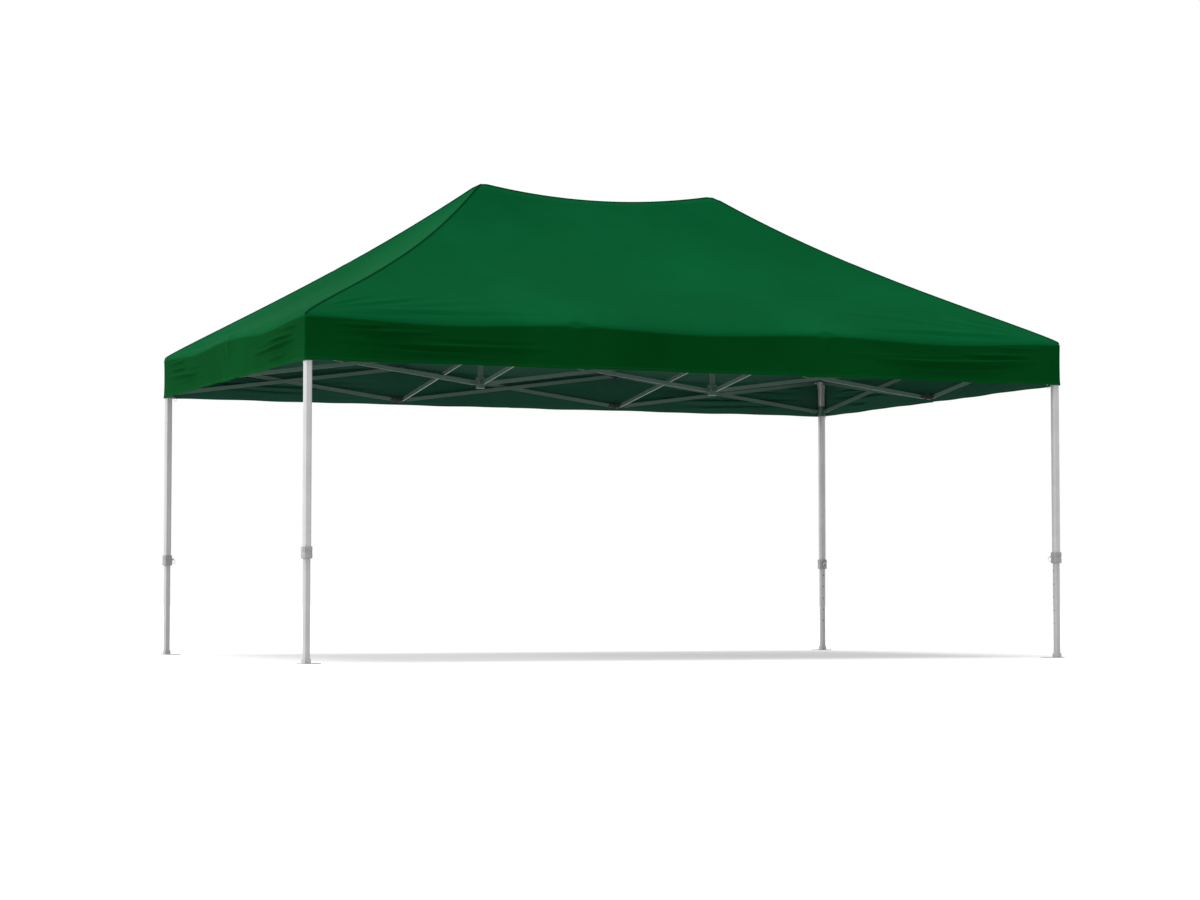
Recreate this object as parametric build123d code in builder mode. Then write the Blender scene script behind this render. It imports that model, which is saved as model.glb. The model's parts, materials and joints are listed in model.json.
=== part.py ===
"""Folding tarp shelter, 6 m by 4 m: a hipped canopy on four telescopic legs and a scissor frame.

The frame is a grid of upright nodes, three bays along X and two along Y. Each bay of each row and
column holds one scissor: a rising bar and a falling bar, pinned where they cross. Two of the nodes
carry the masts that hold up the peaks. The origin is on the floor under the middle of the shelter.
"""

import math
import os

from build123d import *

os.makedirs("parts", exist_ok=True)

# Driving dimensions, in millimetres
CANOPY_LENGTH = 6000.0
CANOPY_WIDTH = 4000.0
EAVE_Z = 2400.0
PEAK_Z = 3680.0
VALANCE_DROP = 325.0
CLOTH = 1.0
LEG_INSET = 35.0
UPPER_Z = 2370.0
LOWER_Z = 2120.0
SPAN = 1845.0
COLLAR_Z = 760.0
OUTER_TUBE = 54.0
INNER_TUBE = 46.0
TUBE_WALL = 2.2
TUBE_CHAMFER = 12.0
BAR_DEPTH = 30.0
BAR_THICKNESS = 13.4
BAR_WALL = 1.6
BAR_GAP = 3.4
PIN_RADIUS = 4.0
PIN_PLAY = 0.2
MAST_RADIUS = 21.0
HUB_HALF = 30.0
FOOT_SIZE = 140.0
FOOT_THICKNESS = 5.0
FOOT_SHIFT = 26.0
PEG_HOLE_RADIUS = 7.0
PEG_SPACING = 90.0

# Places that follow from them
NODE_X = (CANOPY_LENGTH - 2 * LEG_INSET) / 3
NODE_Y = (CANOPY_WIDTH - 2 * LEG_INSET) / 2
XS = [(i - 1.5) * NODE_X for i in range(4)]
YS = [(j - 1) * NODE_Y for j in range(3)]
RISE = UPPER_Z - LOWER_Z
BAR_LENGTH = math.hypot(SPAN, RISE)
TILT = math.degrees(math.atan2(RISE, SPAN))
ARM = {"x": (NODE_X - SPAN) / 2, "y": (NODE_Y - SPAN) / 2}
BAR_MID = BAR_GAP + BAR_THICKNESS / 2
BAR_OUTSIDE = BAR_GAP + BAR_THICKNESS
BAR_STUB = 14.0
TONGUE = 6.0
HEAD_RADIUS = 8.0
HEAD_THICKNESS = 3.0
FACE_PLAY = 0.3
SLEEVE_HALF = 31.0
TUBE_TOP = UPPER_Z + 5.0
BRACKET_TOP = UPPER_Z + 15.0

X_NAMES = ["left", "inner_left", "inner_right", "right"]
Y_NAMES = ["front", "middle", "back"]


def save(part, name):
    """Label one finished piece and write its STEP file."""
    part.label = name
    export_step(part, f"parts/{name}.step")


def octagon(across, chamfered=TUBE_CHAMFER, mode=Mode.ADD):
    """Draw a square with cut corners in the open sketch."""
    half = across / 2
    near = half - chamfered
    Polygon(
        (half, near), (near, half), (-near, half), (-half, near),
        (-half, -near), (-near, -half), (near, -half), (half, -near),
        mode=mode,
    )


def bar(name, along, middle, rises):
    """One scissor bar. A rising bar lies on one side of its row and a falling bar on the other.

    The falling bar carries the rivet that both turn on, with a spacer between them.
    """
    row = Vector(1, 0, 0) if along == "x" else Vector(0, 1, 0)
    side = Vector(0, 1, 0) if along == "x" else Vector(1, 0, 0)
    slope = math.radians(TILT if rises else -TILT)
    run = row * math.cos(slope) + Vector(0, 0, math.sin(slope))
    out = side * (-1 if rises else 1)
    centre = middle + out * BAR_MID
    end = centre - run * (BAR_LENGTH / 2 + BAR_STUB)
    across = Plane(origin=end, x_dir=out, z_dir=run)
    flat = Plane(origin=middle, x_dir=run, z_dir=out)
    with BuildPart() as piece:
        with BuildSketch(across):
            Rectangle(BAR_THICKNESS, BAR_DEPTH)
            Rectangle(BAR_THICKNESS - 2 * BAR_WALL, BAR_DEPTH - 2 * BAR_WALL, mode=Mode.SUBTRACT)
        extrude(amount=BAR_LENGTH + 2 * BAR_STUB)
        pivots = [(-BAR_LENGTH / 2, 0), (BAR_LENGTH / 2, 0)] + ([(0, 0)] if rises else [])
        with BuildSketch(flat):
            with Locations(*pivots):
                Circle(PIN_RADIUS + PIN_PLAY)
        extrude(amount=BAR_OUTSIDE + 1, mode=Mode.SUBTRACT)
        if not rises:
            with BuildSketch(flat.offset(BAR_GAP + BAR_WALL / 2)):
                Circle(HEAD_RADIUS)
            extrude(amount=-(2 * BAR_GAP + BAR_WALL / 2 - FACE_PLAY))
            with BuildSketch(flat.offset(BAR_OUTSIDE)):
                Circle(PIN_RADIUS)
            extrude(amount=-(2 * BAR_OUTSIDE + FACE_PLAY))
            with BuildSketch(flat.offset(-BAR_OUTSIDE - FACE_PLAY)):
                Circle(HEAD_RADIUS)
            extrude(amount=-HEAD_THICKNESS)
    save(piece.part, name)


def arms(x, y, z, reach_from, along_x, along_y, upper):
    """Tongues and rivets that hold the bar ends at one node, as one part to add to the node's own.

    along_x and along_y list the ways, -1 or 1, in which bars leave the node.
    """
    node = Vector(x, y, z)
    ways = [("x", way) for way in along_x] + [("y", way) for way in along_y]
    with BuildPart() as held:
        for along, way in ways:
            reach = ARM[along] + 13
            row = Vector(way, 0, 0) if along == "x" else Vector(0, way, 0)
            side = Vector(0, 1, 0) if along == "x" else Vector(1, 0, 0)
            out = side * (way if upper else -way)
            tongue = Plane(origin=node + row * reach_from - out * TONGUE / 2, x_dir=row, z_dir=out)
            with BuildSketch(tongue):
                with Locations(((reach - reach_from) / 2, 0)):
                    Rectangle(reach - reach_from, 28)
            extrude(amount=TONGUE)
            pivot = node + row * ARM[along]
            with BuildSketch(Plane(origin=pivot, z_dir=out)):
                Circle(PIN_RADIUS)
            extrude(amount=BAR_OUTSIDE + FACE_PLAY)
            with BuildSketch(Plane(origin=pivot + out * (BAR_OUTSIDE + FACE_PLAY), z_dir=out)):
                Circle(HEAD_RADIUS)
            extrude(amount=HEAD_THICKNESS)
    return held.part


def outer_leg(name, x, y):
    """Upper tube of a leg, with the top bracket, the collar that clamps the lower tube, and its latch."""
    inward_x = -math.copysign(1, x)
    inward_y = -math.copysign(1, y)
    latch = Vector(0, inward_y, 0) if inward_x == inward_y else Vector(inward_x, 0, 0)
    held = arms(x, y, UPPER_Z, SLEEVE_HALF - 1, [inward_x], [inward_y], upper=True)
    with BuildPart() as piece:
        with BuildSketch(Plane((x, y, COLLAR_Z - 20))):
            octagon(OUTER_TUBE)
            octagon(OUTER_TUBE - 2 * TUBE_WALL, TUBE_CHAMFER - 1, mode=Mode.SUBTRACT)
        extrude(amount=TUBE_TOP - COLLAR_Z + 20)
        with BuildSketch(Plane((x, y, UPPER_Z - 45))):
            octagon(2 * SLEEVE_HALF)
            octagon(OUTER_TUBE - 1, mode=Mode.SUBTRACT)
        extrude(amount=45 + TUBE_TOP - UPPER_Z)
        with BuildSketch(Plane((x, y, TUBE_TOP))):
            octagon(2 * SLEEVE_HALF)
        extrude(amount=BRACKET_TOP - TUBE_TOP)
        with BuildSketch(Plane((x, y, COLLAR_Z - 40))):
            octagon(2 * SLEEVE_HALF + 4)
            octagon(INNER_TUBE + 0.8, TUBE_CHAMFER - 1.5, mode=Mode.SUBTRACT)
        extrude(amount=21)
        with BuildSketch(Plane((x, y, COLLAR_Z - 19))):
            octagon(2 * SLEEVE_HALF + 4)
            octagon(OUTER_TUBE - 1, mode=Mode.SUBTRACT)
        extrude(amount=59)
        with BuildSketch(Plane(origin=Vector(x, y, COLLAR_Z + 8) + latch * SLEEVE_HALF, z_dir=latch)):
            Circle(8)
        extrude(amount=22)
        add(held)
    save(piece.part, name)


def inner_leg(name, x, y):
    """Lower tube of a leg, with its guide at the top and the foot plate with two peg holes."""
    inward_x = -math.copysign(1, x)
    inward_y = -math.copysign(1, y)
    top = COLLAR_Z + 330
    with BuildPart() as piece:
        with BuildSketch(Plane((x + inward_x * FOOT_SHIFT, y + inward_y * FOOT_SHIFT, 0))):
            RectangleRounded(FOOT_SIZE, FOOT_SIZE, 14)
            with Locations((0, inward_y * PEG_SPACING / 2)):
                with GridLocations(PEG_SPACING, 1, 2, 1):
                    Circle(PEG_HOLE_RADIUS, mode=Mode.SUBTRACT)
        extrude(amount=FOOT_THICKNESS)
        with BuildSketch(Plane((x, y, FOOT_THICKNESS))):
            octagon(INNER_TUBE + 12)
        extrude(amount=30)
        with BuildSketch(Plane((x, y, FOOT_THICKNESS + 30))):
            octagon(INNER_TUBE, TUBE_CHAMFER - 1.5)
            octagon(INNER_TUBE - 2 * TUBE_WALL, TUBE_CHAMFER - 2.5, mode=Mode.SUBTRACT)
        extrude(amount=top - FOOT_THICKNESS - 30)
        with BuildSketch(Plane((x, y, top - 60))):
            octagon(OUTER_TUBE - 2 * TUBE_WALL - 0.8, TUBE_CHAMFER - 1)
            octagon(INNER_TUBE - 2 * TUBE_WALL, TUBE_CHAMFER - 2.5, mode=Mode.SUBTRACT)
        extrude(amount=60)
    save(piece.part, name)


def slider(name, x, y):
    """Sleeve that runs on the upper tube and carries the lower ends of the corner's two scissors."""
    inward_x = -math.copysign(1, x)
    inward_y = -math.copysign(1, y)
    latch = Vector(0, inward_y, 0) if inward_x == inward_y else Vector(inward_x, 0, 0)
    held = arms(x, y, LOWER_Z, SLEEVE_HALF - 1, [inward_x], [inward_y], upper=False)
    with BuildPart() as piece:
        with BuildSketch(Plane((x, y, LOWER_Z - 45))):
            octagon(2 * SLEEVE_HALF)
            octagon(OUTER_TUBE + 0.8, TUBE_CHAMFER + 0.4, mode=Mode.SUBTRACT)
        extrude(amount=90)
        with BuildSketch(Plane(origin=Vector(x, y, LOWER_Z - 32) + latch * (SLEEVE_HALF - 2), z_dir=latch)):
            Circle(7)
        extrude(amount=22)
        add(held)
    save(piece.part, name)


def side_connector(name, x, y):
    """Upper connector between two bays on an outer side. It holds three bar ends."""
    along_x = [way for way in (-1, 1) if XS[0] <= x + way * NODE_X <= XS[-1] + 1]
    along_y = [way for way in (-1, 1) if YS[0] <= y + way * NODE_Y <= YS[-1] + 1]
    held = arms(x, y, UPPER_Z, 17, along_x, along_y, upper=True)
    with BuildPart() as piece:
        with Locations((x, y, UPPER_Z)):
            block = Box(36, 36, 44)
        fillet(block.edges().filter_by(Axis.Z), 6)
        add(held)
    save(piece.part, name)


def upper_hub(name, x):
    """Four-way hub that slides on a mast and holds the upper ends of four scissors."""
    held = arms(x, 0, UPPER_Z, HUB_HALF - 1, [-1, 1], [-1, 1], upper=True)
    with BuildPart() as piece:
        with Locations((x, 0, UPPER_Z)):
            block = Box(2 * HUB_HALF, 2 * HUB_HALF, 60)
        fillet(block.edges().filter_by(Axis.Z), 10)
        add(held)
        with BuildSketch(Plane((x, 0, UPPER_Z - 30))):
            Circle(MAST_RADIUS + FACE_PLAY)
        extrude(amount=60, mode=Mode.SUBTRACT)
    save(piece.part, name)


def mast(name, x):
    """Peak mast. Its foot is the four-way hub that holds the lower ends of four scissors."""
    held = arms(x, 0, LOWER_Z, HUB_HALF - 1, [-1, 1], [-1, 1], upper=False)
    with BuildPart() as piece:
        with Locations((x, 0, LOWER_Z)):
            block = Box(2 * HUB_HALF, 2 * HUB_HALF, 84)
        fillet(block.edges().filter_by(Axis.Z), 10)
        add(held)
        with BuildSketch(Plane((x, 0, LOWER_Z + 40))):
            Circle(MAST_RADIUS)
            Circle(MAST_RADIUS - TUBE_WALL, mode=Mode.SUBTRACT)
        extrude(amount=PEAK_Z - 60 - LOWER_Z - 40)
    save(piece.part, name)


def mast_cap(name, x):
    """Domed plug on the mast's top, which the peak of the canopy rests on."""
    top = PEAK_Z - 30
    with BuildPart() as piece:
        with BuildSketch(Plane((x, 0, PEAK_Z - 60))):
            Circle(34)
        extrude(amount=top - PEAK_Z + 60, taper=35)
        with BuildSketch(Plane((x, 0, PEAK_Z - 60))):
            Circle(MAST_RADIUS - TUBE_WALL)
        extrude(amount=-40)
    save(piece.part, name)


def hipped_block(drop, inset):
    """Solid under the four roof planes, lowered by drop and cut back by inset at the eaves."""
    half_length = CANOPY_LENGTH / 2
    half_width = CANOPY_WIDTH / 2
    with BuildPart() as block:
        with BuildSketch(Plane.YZ.offset(-half_length + inset)):
            with BuildLine():
                Polyline(
                    (-half_width, EAVE_Z - drop),
                    (0, PEAK_Z - drop),
                    (half_width, EAVE_Z - drop),
                    close=True,
                )
            make_face()
        extrude(amount=CANOPY_LENGTH - 2 * inset)
        with BuildSketch(Plane.XZ.offset(-half_width + inset)):
            with BuildLine():
                Polyline(
                    (-half_length, EAVE_Z - drop),
                    (XS[1], PEAK_Z - drop),
                    (XS[2], PEAK_Z - drop),
                    (half_length, EAVE_Z - drop),
                    close=True,
                )
            make_face()
        extrude(amount=CANOPY_WIDTH - 2 * inset, mode=Mode.INTERSECT)
    return block.part


def canopy_roof():
    """Hipped roof cloth as one thin closed shell, open below."""
    outside = hipped_block(0, 0)
    inside = hipped_block(CLOTH * 1.4, 0)
    with BuildPart() as piece:
        add(outside)
        add(inside, mode=Mode.SUBTRACT)
    save(piece.part, "canopy_roof")


def canopy_valance():
    """Band of cloth that hangs from the eaves on all four sides."""
    with BuildPart() as piece:
        with BuildSketch(Plane.XY.offset(EAVE_Z - VALANCE_DROP)):
            Rectangle(CANOPY_LENGTH, CANOPY_WIDTH)
            Rectangle(CANOPY_LENGTH - 2 * CLOTH, CANOPY_WIDTH - 2 * CLOTH, mode=Mode.SUBTRACT)
        extrude(amount=VALANCE_DROP - CLOTH * 1.4)
    save(piece.part, "canopy_valance")


for x_name, x in zip((X_NAMES[0], X_NAMES[-1]), (XS[0], XS[-1])):
    for y_name, y in zip((Y_NAMES[0], Y_NAMES[-1]), (YS[0], YS[-1])):
        outer_leg(f"outer_leg_{y_name}_{x_name}", x, y)
        inner_leg(f"inner_leg_{y_name}_{x_name}", x, y)
        slider(f"slider_{y_name}_{x_name}", x, y)

for i in range(4):
    for j in range(3):
        corner = i in (0, 3) and j in (0, 2)
        masted = i in (1, 2) and j == 1
        if not corner and not masted:
            side_connector(f"connector_{Y_NAMES[j]}_{X_NAMES[i]}", XS[i], YS[j])

for i in (1, 2):
    upper_hub(f"upper_hub_{X_NAMES[i]}", XS[i])
    mast(f"mast_{X_NAMES[i]}", XS[i])
    mast_cap(f"mast_cap_{X_NAMES[i]}", XS[i])

MIDDLE_Z = (UPPER_Z + LOWER_Z) / 2
for rises, way in ((True, "rising"), (False, "falling")):
    for j in range(3):
        for bay in range(3):
            centre = Vector((XS[bay] + XS[bay + 1]) / 2, YS[j], MIDDLE_Z)
            bar(f"bar_{Y_NAMES[j]}_row_bay{bay + 1}_{way}", "x", centre, rises)
    for i in range(4):
        for bay in range(2):
            centre = Vector(XS[i], (YS[bay] + YS[bay + 1]) / 2, MIDDLE_Z)
            bar(f"bar_{X_NAMES[i]}_column_bay{bay + 1}_{way}", "y", centre, rises)

canopy_roof()
canopy_valance()
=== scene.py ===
"""Looks for the folding tarp shelter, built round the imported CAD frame.

Metres, with the origin on the floor under the middle. The canopy is four roof quarters and eight
valance pieces, which ride the corner legs and are squashed as the frame folds.
"""

import json
import math

import bmesh
import bpy
import numpy as np
from mathutils import Matrix, Vector
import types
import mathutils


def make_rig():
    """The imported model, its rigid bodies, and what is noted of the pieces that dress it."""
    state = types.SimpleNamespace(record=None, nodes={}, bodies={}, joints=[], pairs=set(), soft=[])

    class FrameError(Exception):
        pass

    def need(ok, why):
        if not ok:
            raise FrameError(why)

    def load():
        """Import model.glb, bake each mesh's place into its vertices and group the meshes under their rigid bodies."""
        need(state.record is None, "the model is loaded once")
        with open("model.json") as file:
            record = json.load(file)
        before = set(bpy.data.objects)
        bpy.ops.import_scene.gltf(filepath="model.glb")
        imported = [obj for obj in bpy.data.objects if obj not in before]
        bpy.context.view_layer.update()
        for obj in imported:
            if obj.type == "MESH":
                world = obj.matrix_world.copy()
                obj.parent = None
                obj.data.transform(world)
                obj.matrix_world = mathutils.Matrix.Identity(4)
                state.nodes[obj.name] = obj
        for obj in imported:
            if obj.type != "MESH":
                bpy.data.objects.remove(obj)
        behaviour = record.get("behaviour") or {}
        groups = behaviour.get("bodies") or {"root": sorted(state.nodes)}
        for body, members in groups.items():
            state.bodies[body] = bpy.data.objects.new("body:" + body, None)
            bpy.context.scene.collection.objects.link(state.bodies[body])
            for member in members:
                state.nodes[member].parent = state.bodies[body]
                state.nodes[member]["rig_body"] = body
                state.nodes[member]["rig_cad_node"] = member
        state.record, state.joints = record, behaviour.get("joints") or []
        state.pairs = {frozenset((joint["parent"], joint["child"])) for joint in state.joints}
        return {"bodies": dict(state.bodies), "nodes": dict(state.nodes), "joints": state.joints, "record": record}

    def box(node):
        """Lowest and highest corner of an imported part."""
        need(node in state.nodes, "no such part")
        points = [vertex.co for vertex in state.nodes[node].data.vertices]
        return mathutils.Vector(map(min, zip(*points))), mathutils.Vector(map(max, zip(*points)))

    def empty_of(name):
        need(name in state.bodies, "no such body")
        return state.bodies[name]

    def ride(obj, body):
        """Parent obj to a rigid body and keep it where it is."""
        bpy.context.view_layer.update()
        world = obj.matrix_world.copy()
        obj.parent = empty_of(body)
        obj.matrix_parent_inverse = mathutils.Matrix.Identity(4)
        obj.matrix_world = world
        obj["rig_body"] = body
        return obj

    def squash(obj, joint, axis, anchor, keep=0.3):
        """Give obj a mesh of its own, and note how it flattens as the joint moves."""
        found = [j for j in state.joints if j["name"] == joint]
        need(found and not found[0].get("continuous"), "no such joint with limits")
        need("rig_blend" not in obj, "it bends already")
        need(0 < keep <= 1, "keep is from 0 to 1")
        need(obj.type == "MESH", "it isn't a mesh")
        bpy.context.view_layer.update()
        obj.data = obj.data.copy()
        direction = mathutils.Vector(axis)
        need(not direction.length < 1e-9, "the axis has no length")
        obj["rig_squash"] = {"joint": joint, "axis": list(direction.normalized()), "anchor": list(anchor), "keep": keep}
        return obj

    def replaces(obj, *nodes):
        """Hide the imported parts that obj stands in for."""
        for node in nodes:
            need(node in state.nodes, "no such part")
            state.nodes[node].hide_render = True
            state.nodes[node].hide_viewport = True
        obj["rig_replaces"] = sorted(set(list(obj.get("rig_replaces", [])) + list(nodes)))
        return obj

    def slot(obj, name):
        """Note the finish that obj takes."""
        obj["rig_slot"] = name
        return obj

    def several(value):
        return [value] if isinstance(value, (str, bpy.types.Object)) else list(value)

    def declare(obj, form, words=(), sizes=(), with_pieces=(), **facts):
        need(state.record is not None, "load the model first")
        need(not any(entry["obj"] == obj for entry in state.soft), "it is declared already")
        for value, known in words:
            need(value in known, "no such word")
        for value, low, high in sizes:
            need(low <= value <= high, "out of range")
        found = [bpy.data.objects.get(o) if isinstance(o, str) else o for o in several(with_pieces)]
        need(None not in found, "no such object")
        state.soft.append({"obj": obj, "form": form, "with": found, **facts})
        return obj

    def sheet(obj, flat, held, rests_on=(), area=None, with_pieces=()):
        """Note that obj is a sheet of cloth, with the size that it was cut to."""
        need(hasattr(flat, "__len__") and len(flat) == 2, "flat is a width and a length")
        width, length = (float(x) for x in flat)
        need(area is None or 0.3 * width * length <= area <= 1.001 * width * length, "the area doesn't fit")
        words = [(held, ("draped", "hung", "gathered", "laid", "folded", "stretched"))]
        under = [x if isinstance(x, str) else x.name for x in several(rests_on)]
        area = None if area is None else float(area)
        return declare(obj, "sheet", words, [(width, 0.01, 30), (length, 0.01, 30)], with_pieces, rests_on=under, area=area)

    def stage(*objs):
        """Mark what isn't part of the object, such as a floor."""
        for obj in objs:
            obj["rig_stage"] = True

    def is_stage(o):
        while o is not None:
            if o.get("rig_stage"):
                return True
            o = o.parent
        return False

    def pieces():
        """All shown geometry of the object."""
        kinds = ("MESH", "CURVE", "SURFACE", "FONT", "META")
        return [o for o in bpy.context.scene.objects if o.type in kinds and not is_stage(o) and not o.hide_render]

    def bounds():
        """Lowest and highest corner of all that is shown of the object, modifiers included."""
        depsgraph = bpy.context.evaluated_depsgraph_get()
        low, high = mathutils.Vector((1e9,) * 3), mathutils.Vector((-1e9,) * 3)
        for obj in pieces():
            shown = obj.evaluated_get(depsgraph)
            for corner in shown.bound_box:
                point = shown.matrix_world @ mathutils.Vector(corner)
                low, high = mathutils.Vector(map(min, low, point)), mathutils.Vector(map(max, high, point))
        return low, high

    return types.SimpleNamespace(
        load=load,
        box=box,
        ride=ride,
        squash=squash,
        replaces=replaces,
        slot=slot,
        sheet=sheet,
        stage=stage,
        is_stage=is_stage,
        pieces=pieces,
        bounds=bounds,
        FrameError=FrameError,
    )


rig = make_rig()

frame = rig.load()
cad_low, cad_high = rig.bounds()

# ---------------------------------------------------------------- sizes, read from the frame
_, roof_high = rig.box("canopy_roof")
valance_low, valance_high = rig.box("canopy_valance")
post_low, post_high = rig.box("mast_inner_right")
ROOF_SKIN = 0.0014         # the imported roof's upright thickness, between the valance and the eave
HALF_X, HALF_Y = roof_high.x, roof_high.y
PEAK_Z, EAVE_Z, HEM_Z = roof_high.z, valance_high.z + ROOF_SKIN, valance_low.z
PEAK_X = (post_low.x + post_high.x) / 2
RISE = PEAK_Z - EAVE_Z
DROP = EAVE_Z - HEM_Z
LEG_INSET = 0.035
LEG_X, LEG_Y = HALF_X - LEG_INSET, HALF_Y - LEG_INSET
UPPER_Z, LOWER_Z = 2.370, 2.120
BAR_SPAN = 1.845
COLLAR_Z = 0.760
EDGE_DROP = 0.014          # how far the rounded eave lies under the plane of the roof
EDGE_SETTLE = 0.006        # a wider dip of the cloth beside the eave
CORNER_RADIUS = 0.018
CLOTH = 0.0012             # thickness of the cloth

SIDES = {"front": -1, "back": 1}
ENDS = {"left": -1, "right": 1}

# What the full fold leaves of the canopy's half length, half width and height
fold = next(j for j in frame["joints"] if j["name"] == "frame_fold")
tilt = math.atan2(UPPER_Z - LOWER_Z, BAR_SPAN)
bar_length = math.hypot(UPPER_Z - LOWER_Z, BAR_SPAN)
drawn_in = BAR_SPAN - bar_length * math.cos(tilt + math.radians(fold["range_deg"][1]))
BAYS_IN_HALF_X, BAYS_IN_HALF_Y = 1.5, 1
KEEP_X = 1 - BAYS_IN_HALF_X * drawn_in / HALF_X
KEEP_Y = 1 - BAYS_IN_HALF_Y * drawn_in / HALF_Y
KEEP_Z = 0.052


# ---------------------------------------------------------------- materials
class Nodes:
    """A short way to write a material's node tree."""

    def __init__(self, name):
        self.material = bpy.data.materials.new(name)
        self.material.use_nodes = True
        self.tree = self.material.node_tree
        self.tree.nodes.clear()
        self.out = self.tree.nodes.new("ShaderNodeOutputMaterial")
        self.shader = self.tree.nodes.new("ShaderNodeBsdfPrincipled")
        self.join(self.shader.outputs[0], self.out.inputs["Surface"])

    def join(self, a, b):
        self.tree.links.new(a, b)

    def add(self, kind, **values):
        node = self.tree.nodes.new("ShaderNode" + kind)
        for key, value in values.items():
            if hasattr(node, key):
                setattr(node, key, value)
            else:
                node.inputs[key.replace("_", " ")].default_value = value
        return node

    def set(self, **values):
        for key, value in values.items():
            self.shader.inputs[key.replace("_", " ")].default_value = value

    def math(self, operation, a, b=None):
        node = self.add("Math", operation=operation)
        for socket, value in zip(node.inputs, (a, b)):
            if isinstance(value, (int, float)):
                socket.default_value = value
            elif value is not None:
                self.join(value, socket)
        return node.outputs[0]

    def noise(self, source, scale, detail=3.0, stretch=None, roughness=0.5):
        if stretch:
            mapping = self.add("Mapping")
            mapping.inputs["Scale"].default_value = stretch
            self.join(source, mapping.inputs[0])
            source = mapping.outputs[0]
        node = self.add("TexNoise", Scale=scale, Detail=detail, Roughness=roughness)
        self.join(source, node.inputs["Vector"])
        return node.outputs[0]

    def ramp(self, factor, *stops):
        node = self.add("ValToRGB")
        ramp = node.color_ramp
        while len(ramp.elements) < len(stops):
            ramp.elements.new(0.5)
        for element, (place, colour) in zip(ramp.elements, stops):
            element.position = place
            element.color = (*colour, 1)
        self.join(factor, node.inputs[0])
        return node.outputs[0]

    def mix(self, factor, a, b):
        node = self.tree.nodes.new("ShaderNodeMix")
        node.data_type = "RGBA"
        for socket, value in ((node.inputs[0], factor), (node.inputs[6], a), (node.inputs[7], b)):
            if isinstance(value, (int, float)):
                socket.default_value = value
            elif isinstance(value, tuple):
                socket.default_value = (*value, 1)
            else:
                self.join(value, socket)
        return node.outputs[2]

    def bump(self, height, strength, distance, under=None):
        node = self.add("Bump", Strength=strength, Distance=distance)
        self.join(height, node.inputs["Height"])
        if under is not None:
            self.join(under, node.inputs["Normal"])
        return node.outputs[0]

    def finish(self, colour=None, normal=None, roughness=None):
        sources = ((colour, "Base Color"), (normal, "Normal"), (roughness, "Roughness"))
        for source, socket in sources:
            if source is not None:
                self.join(source, self.shader.inputs[socket])
        return self.material


THREAD_SCALE = 180.0
STITCHES_PER_METRE, STITCH_GAP, STITCH_HALF_WIDTH = 190.0, 0.28, 0.0009
HEM_FOLD = 0.024
STITCH_LINES = (0.006, DROP - 0.020, DROP - 0.005)      # distances below the eave


def cloth_material(name, base, dark, pale, sheen, stitched=False):
    """Coated plain weave: fine crossed threads, faint slubs along the warp, and a soft sheen."""
    n = Nodes(name)
    place = n.add("TexCoord").outputs["Object"]
    cloud = n.noise(place, 1.1, 4.0)
    slub = n.noise(place, 26.0, 2.0, stretch=(0.25, 1.6, 1.6))
    grain = n.noise(place, 420.0, 2.0)
    colour = n.ramp(cloud, (0.30, dark), (0.52, base), (0.74, pale))
    colour = n.mix(n.ramp(slub, (0.42, (0, 0, 0)), (0.60, (1, 1, 1))), colour,
                   n.mix(0.10, colour, pale))
    colour = n.mix(n.ramp(grain, (0.35, (0.0,) * 3), (0.70, (0.16,) * 3)), colour, dark)
    waves = []
    for way in "XYZ":
        wave = n.add("TexWave", bands_direction=way, Scale=THREAD_SCALE, Distortion=0.4)
        n.join(place, wave.inputs["Vector"])
        waves.append(wave.outputs[1])
    threads = n.math("ADD", n.math("ADD", waves[0], waves[1]), waves[2])
    normal = n.bump(threads, 0.22, 0.0006)
    normal = n.bump(slub, 0.18, 0.002, normal)
    if stitched:
        split = n.add("SeparateXYZ")
        n.join(n.add("UVMap", uv_map="metres").outputs[0], split.inputs[0])
        along, down = split.outputs[0], split.outputs[1]
        turns = n.math("FRACT", n.math("MULTIPLY", along, STITCHES_PER_METRE))
        dash = n.math("GREATER_THAN", turns, STITCH_GAP)
        lines = None
        for at in STITCH_LINES:
            away = n.math("ABSOLUTE", n.math("SUBTRACT", down, at))
            near = n.math("LESS_THAN", away, STITCH_HALF_WIDTH)
            lines = near if lines is None else n.math("MAXIMUM", lines, near)
        stitch = n.math("MULTIPLY", dash, lines)
        colour = n.mix(stitch, colour, tuple(min(1, c * 1.7 + 0.006) for c in pale))
        normal = n.bump(stitch, 0.5, 0.0008, normal)
        normal = n.bump(n.math("GREATER_THAN", down, DROP - HEM_FOLD), 0.5, 0.0012, normal)
    n.set(Sheen_Weight=sheen, Sheen_Roughness=0.5, Specular_IOR_Level=0.006)
    n.set(Sheen_Tint=(0.02, 0.45, 0.20, 1))
    rough = n.ramp(slub, (0.3, (0.74,) * 3), (0.7, (0.86,) * 3))
    return n.finish(colour, normal, rough)


def metal_material(name, base, metallic, rough, streak=(90.0, 90.0, 2.0)):
    """Anodised extrusion: fine lines along its length, faint blotches and small scuffs."""
    n = Nodes(name)
    place = n.add("TexCoord").outputs["Object"]
    lines = n.noise(place, 3.0, 3.0, stretch=streak)
    blotch = n.noise(place, 5.0, 4.0)
    scuff = n.noise(place, 38.0, 5.0, roughness=0.7)
    dark = tuple(c * 0.80 for c in base)
    colour = n.mix(n.ramp(blotch, (0.35, (0,) * 3), (0.70, (0.5,) * 3)), base, dark)
    colour = n.mix(n.ramp(scuff, (0.66, (0,) * 3), (0.78, (0.35,) * 3)), colour,
                   tuple(c * 0.55 for c in base))
    n.set(Metallic=metallic)
    roughness = n.ramp(lines, (0.3, (rough - 0.07,) * 3), (0.7, (rough + 0.08,) * 3))
    return n.finish(colour, n.bump(lines, 0.10, 0.0006), roughness)


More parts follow.
